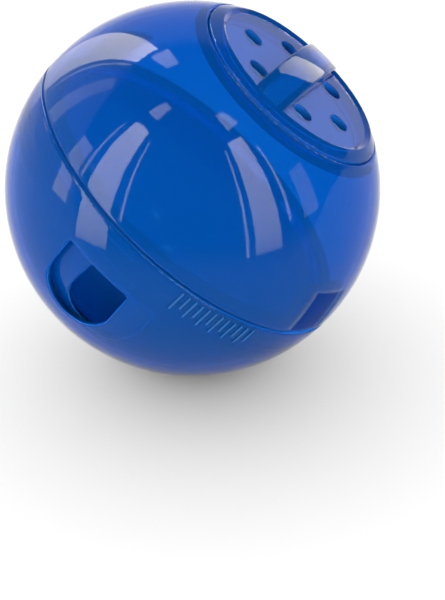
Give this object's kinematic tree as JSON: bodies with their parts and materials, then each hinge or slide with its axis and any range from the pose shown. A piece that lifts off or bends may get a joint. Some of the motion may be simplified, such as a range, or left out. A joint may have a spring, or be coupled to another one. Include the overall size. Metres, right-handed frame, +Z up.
{
  "type": "cat treat ball",
  "caption": "Clear blue treat ball of two half shells, with an inner shutter cup that a twist turns across the treat window, and a vented filler cap with a grip bar.",
  "frame": {"origin": "centre of the ball", "axes": "+Z up as the ball lies on a floor; the twist axis lies in the XZ plane and leans 39.5 degrees from +Z towards +X; the treat window faces -X and -Y"},
  "size_m": [0.0762, 0.0764, 0.0762],
  "materials": {
    "shell_blue": "polished clear blue plastic",
    "cup_blue": "polished clear blue plastic",
    "cap_blue": "polished clear blue plastic"
  },
  "bodies": {
    "lower_half": {"lower_shell": "shell_blue"},
    "upper_half": {"upper_shell": "shell_blue", "shutter_cup": "cup_blue"},
    "cap": {"filler_cap": "cap_blue"}
  },
  "joints": [
    {"name": "shutter_twist", "type": "hinge", "parent": "lower_half", "child": "upper_half", "pos_m": [0, 0, 0], "axis": [0.6361, 0, 0.7716], "range_deg": [-10.3, 20]},
    {"name": "cap_lift", "type": "slide", "parent": "upper_half", "child": "cap", "axis": [0.6361, 0, 0.7716], "range_m": [0, 0.03]}
  ]
}
